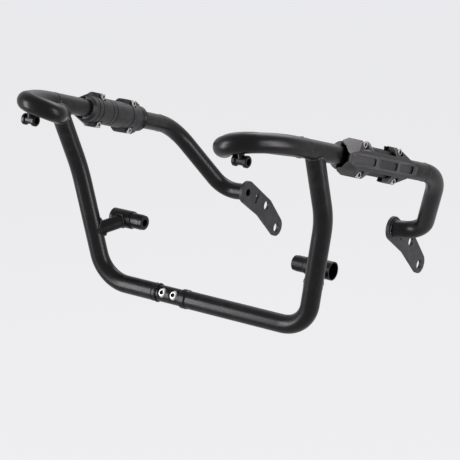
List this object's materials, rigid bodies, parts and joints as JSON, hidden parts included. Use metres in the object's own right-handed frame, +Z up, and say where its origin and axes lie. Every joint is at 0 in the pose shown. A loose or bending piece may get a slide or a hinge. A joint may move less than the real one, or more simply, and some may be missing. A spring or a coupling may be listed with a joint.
{
  "type": "motorcycle crash bar set",
  "caption": "Bent tubular steel engine guard in two bolted halves with front loops, side bars, slider pads, strut-braced engine mounts and drilled rear plates",
  "frame": {"origin": "middle of the inner face of the left engine mount bore", "axes": "+X to the rider's left, -Y to the front of the motorcycle, +Z up"},
  "size_m": [0.4832, 0.5686, 0.341],
  "materials": {
    "tube_coat": "satin black powder coat",
    "plate_coat": "matt dark grey powder coat",
    "moulded_plastic": "fine grained moulded nylon",
    "stainless": "plain stainless fasteners"
  },
  "bodies": {
    "root": {"down_tube_left": "tube_coat", "down_tube_right": "tube_coat", "loop_tube_left": "tube_coat", "loop_tube_right": "tube_coat", "mid_tube_left": "tube_coat", "mid_tube_right": "tube_coat", "rear_tube_left": "tube_coat", "rear_tube_right": "tube_coat", "rear_plate_left": "plate_coat", "rear_plate_right": "plate_coat", "seam_front_left": "tube_coat", "seam_front_right": "tube_coat", "seam_rear_left": "tube_coat", "seam_rear_right": "tube_coat", "front_spool_left": "tube_coat", "front_spool_right": "tube_coat", "front_neck_left": "tube_coat", "front_neck_right": "tube_coat", "mount_tube_left": "tube_coat", "mount_tube_right": "tube_coat", "mount_bush_left": "tube_coat", "mount_bush_right": "tube_coat", "strut_left": "tube_coat", "strut_right": "tube_coat", "strut_collar_left": "tube_coat", "strut_collar_right": "tube_coat", "pad_outer_left": "moulded_plastic", "pad_outer_right": "moulded_plastic", "pad_inner_left": "moulded_plastic", "pad_inner_right": "moulded_plastic", "pad_bolts_left": "stainless", "pad_bolts_right": "stainless", "pad_nuts_left": "stainless", "pad_nuts_right": "stainless", "joint_tongue_left": "tube_coat", "joint_tongue_right": "tube_coat", "joint_collar_left": "tube_coat", "joint_ring_right": "tube_coat", "joint_bolts": "stainless", "joint_nuts": "stainless"}
  },
  "joints": []
}
